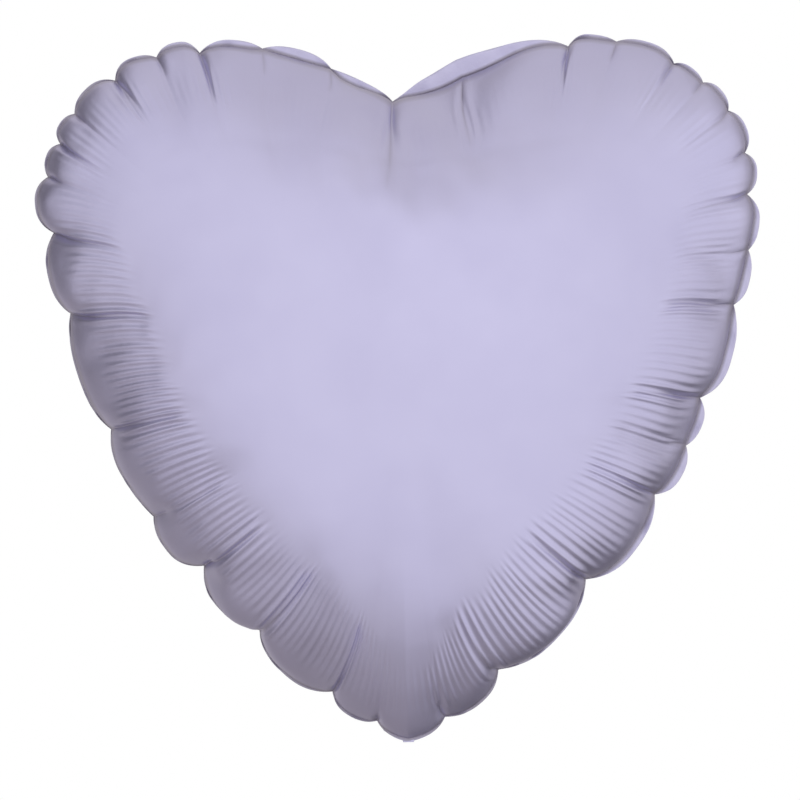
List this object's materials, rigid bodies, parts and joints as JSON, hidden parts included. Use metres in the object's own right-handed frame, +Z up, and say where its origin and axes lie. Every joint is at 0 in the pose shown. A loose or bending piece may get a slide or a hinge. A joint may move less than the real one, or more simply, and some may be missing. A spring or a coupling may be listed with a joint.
{
  "type": "heart-shaped foil balloon",
  "caption": "Inflated heart-shaped foil balloon in satin lilac film, with a puckered welded border, a self-sealing valve and a folded filling tail.",
  "frame": {"origin": "middle of the welded border's bottom edge, at the neck where the ribbon is tied", "axes": "+Z up from the bottom tip to the lobes, -Y toward the viewer in front, +X to the viewer's right"},
  "size_m": [0.3946, 0.1914, 0.386],
  "materials": {
    "front_film": "satin metallised film, pale lilac",
    "back_film": "satin metallised film, pale lilac",
    "border_film": "two films welded flat, slightly paler lilac",
    "valve_film": "thin milky clear film",
    "tail_film": "satin metallised film, pale lilac",
    "tail_weld": "two films welded flat, slightly paler lilac"
  },
  "bodies": {
    "envelope": {"front_panel": "front_film", "back_panel": "back_film", "welded_border": "border_film", "valve_front_film": "valve_film", "valve_back_film": "valve_film"},
    "tail": {"tail_inner_film": "tail_film", "tail_outer_film": "tail_film", "tail_seal_left": "tail_weld", "tail_seal_right": "tail_weld"}
  },
  "joints": [
    {"name": "tail_fold", "type": "hinge", "parent": "envelope", "child": "tail", "pos_m": [0, 0, -0.001], "axis": [-1, 0, 0], "range_deg": [0, 224]}
  ]
}
